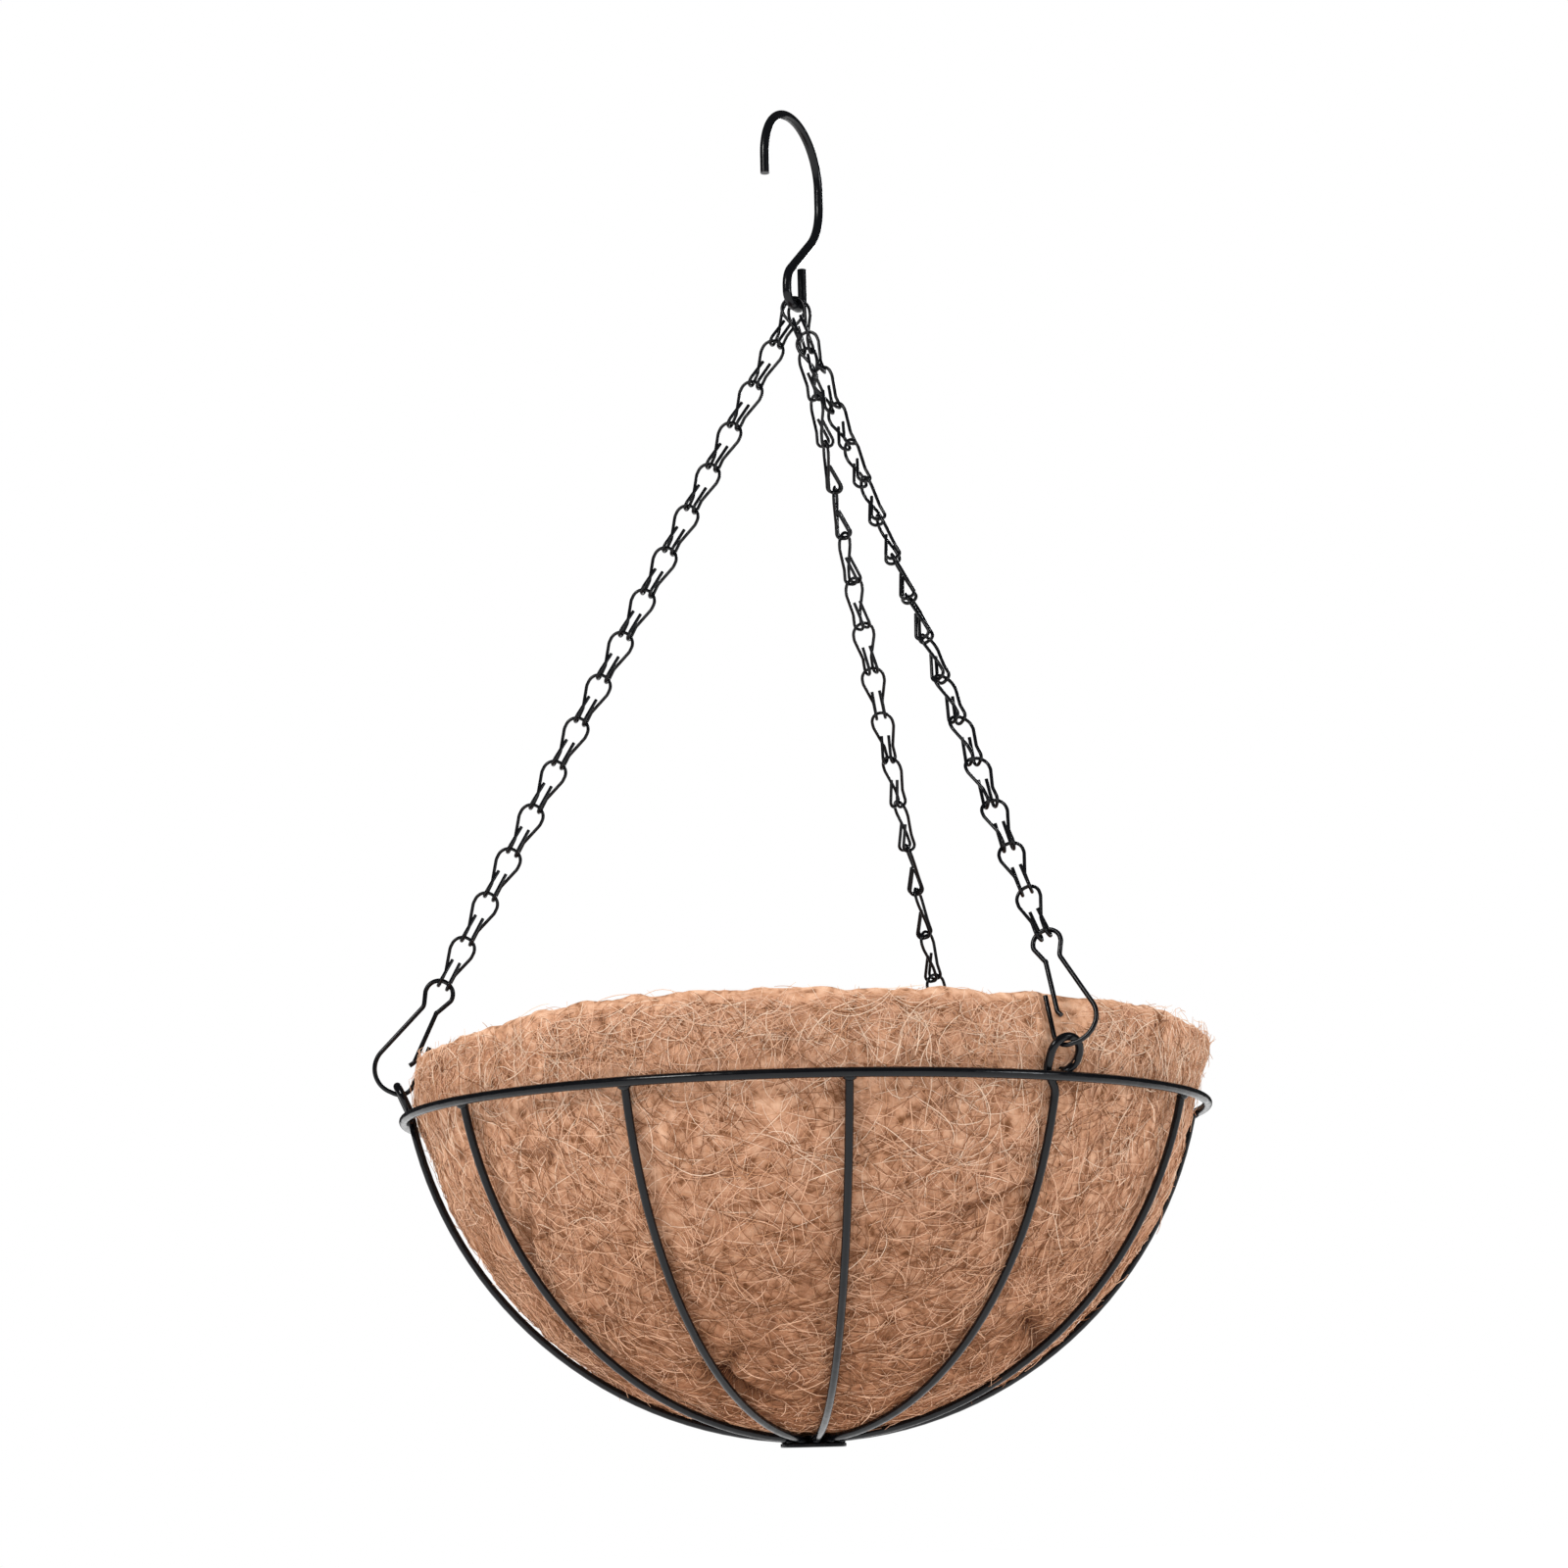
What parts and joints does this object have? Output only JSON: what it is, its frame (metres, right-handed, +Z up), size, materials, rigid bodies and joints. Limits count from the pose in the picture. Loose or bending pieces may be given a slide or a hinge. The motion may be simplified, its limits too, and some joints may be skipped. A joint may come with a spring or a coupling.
{
  "type": "hanging basket",
  "caption": "Round-bottomed wire hanging basket with a thick coir liner, hung from one hook by spread chains that clip to eyes on the rim.",
  "frame": {"origin": "the point inside the top of the hook's upper bend that bears on what it hangs from", "axes": "+Z up, -Y to the front, +X to the right of someone facing the front"},
  "size_m": [0.3087, 0.3, 0.516],
  "materials": {
    "frame_coating": "thick glossy black coating on steel wire",
    "chain_wire": "glossy black coated steel wire",
    "coir_felt": "matte felt of coarse coir fibres"
  },
  "bodies": {
    "hook": {"hook": "chain_wire"},
    "basket": {"rim": "frame_coating", "base_disc": "frame_coating", "plain_ribs": "frame_coating", "eyed_ribs": "frame_coating", "liner": "coir_felt"},
    "left_chain": {"left_chain_link_01": "chain_wire", "left_chain_link_02": "chain_wire", "left_chain_link_03": "chain_wire", "left_chain_link_04": "chain_wire", "left_chain_link_05": "chain_wire", "left_chain_link_06": "chain_wire", "left_chain_link_07": "chain_wire", "left_chain_link_08": "chain_wire", "left_chain_link_09": "chain_wire", "left_chain_link_10": "chain_wire", "left_chain_link_11": "chain_wire", "left_chain_link_12": "chain_wire", "left_chain_link_13": "chain_wire", "left_chain_link_14": "chain_wire", "left_chain_link_15": "chain_wire", "left_chain_link_16": "chain_wire"},
    "right_chain": {"right_chain_link_01": "chain_wire", "right_chain_link_02": "chain_wire", "right_chain_link_03": "chain_wire", "right_chain_link_04": "chain_wire", "right_chain_link_05": "chain_wire", "right_chain_link_06": "chain_wire", "right_chain_link_07": "chain_wire", "right_chain_link_08": "chain_wire", "right_chain_link_09": "chain_wire", "right_chain_link_10": "chain_wire", "right_chain_link_11": "chain_wire", "right_chain_link_12": "chain_wire", "right_chain_link_13": "chain_wire", "right_chain_link_14": "chain_wire", "right_chain_link_15": "chain_wire", "right_chain_link_16": "chain_wire"},
    "rear_chain": {"rear_chain_link_01": "chain_wire", "rear_chain_link_02": "chain_wire", "rear_chain_link_03": "chain_wire", "rear_chain_link_04": "chain_wire", "rear_chain_link_05": "chain_wire", "rear_chain_link_06": "chain_wire", "rear_chain_link_07": "chain_wire", "rear_chain_link_08": "chain_wire", "rear_chain_link_09": "chain_wire", "rear_chain_link_10": "chain_wire", "rear_chain_link_11": "chain_wire", "rear_chain_link_12": "chain_wire", "rear_chain_link_13": "chain_wire", "rear_chain_link_14": "chain_wire", "rear_chain_link_15": "chain_wire", "rear_chain_link_16": "chain_wire"},
    "left_clip": {"left_clip": "chain_wire"},
    "left_gate": {"left_clip_gate": "chain_wire"},
    "right_clip": {"right_clip": "chain_wire"},
    "right_gate": {"right_clip_gate": "chain_wire"},
    "rear_clip": {"rear_clip": "chain_wire"},
    "rear_gate": {"rear_clip_gate": "chain_wire"}
  },
  "joints": [
    {"name": "basket_swing", "type": "hinge", "parent": "hook", "child": "basket", "pos_m": [0, 0, -0.07625], "axis": [0.454, 0.891, 0], "range_deg": [-20, 20]},
    {"name": "left_chain_twist", "type": "hinge", "parent": "basket", "child": "left_chain", "pos_m": [0.0012, 0.00013, -0.07392], "axis": [0.4561, 0.0501, 0.8885], "range_deg": [-10, 10], "stiffness_Nm_per_rad": 0.005},
    {"name": "left_clip_roll", "type": "hinge", "parent": "basket", "child": "left_clip", "pos_m": [-0.15444, -0.01696, -0.3816], "axis": [0.4103, 0.0449, 0.9108], "range_deg": [-5, 5], "stiffness_Nm_per_rad": 0.005},
    {"name": "left_gate_flex", "type": "hinge", "parent": "left_clip", "child": "left_gate", "pos_m": [-0.13909, -0.01528, -0.35226], "axis": [-0.1118, 0.9937, 0.0013], "range_deg": [0, 12], "stiffness_Nm_per_rad": 0.05},
    {"name": "right_chain_twist", "type": "hinge", "parent": "basket", "child": "right_chain", "pos_m": [-0.00217, -0.00194, -0.0736], "axis": [-0.2738, 0.346, 0.8974], "range_deg": [-10, 10], "stiffness_Nm_per_rad": 0.005},
    {"name": "right_clip_roll", "type": "hinge", "parent": "basket", "child": "right_clip", "pos_m": [0.08622, -0.12229, -0.38161], "axis": [-0.143, 0.382, 0.913], "range_deg": [-5, 5], "stiffness_Nm_per_rad": 0.005},
    {"name": "right_gate_flex", "type": "hinge", "parent": "right_clip", "child": "right_gate", "pos_m": [0.07973, -0.10902, -0.35192], "axis": [-0.3995, -0.8663, 0.2999], "range_deg": [0, 12], "stiffness_Nm_per_rad": 0.05},
    {"name": "rear_chain_twist", "type": "hinge", "parent": "basket", "child": "rear_chain", "pos_m": [0.00099, 0.0018, -0.07359], "axis": [-0.1748, -0.3989, 0.9002], "range_deg": [-10, 10], "stiffness_Nm_per_rad": 0.005},
    {"name": "rear_clip_roll", "type": "hinge", "parent": "basket", "child": "rear_clip", "pos_m": [0.05689, 0.13922, -0.38158], "axis": [-0.0831, -0.4174, 0.9049], "range_deg": [-5, 5], "stiffness_Nm_per_rad": 0.005},
    {"name": "rear_gate_flex", "type": "hinge", "parent": "rear_clip", "child": "rear_gate", "pos_m": [0.05257, 0.12442, -0.35223], "axis": [0.5888, -0.7532, -0.2933], "range_deg": [0, 12], "stiffness_Nm_per_rad": 0.05}
  ]
}
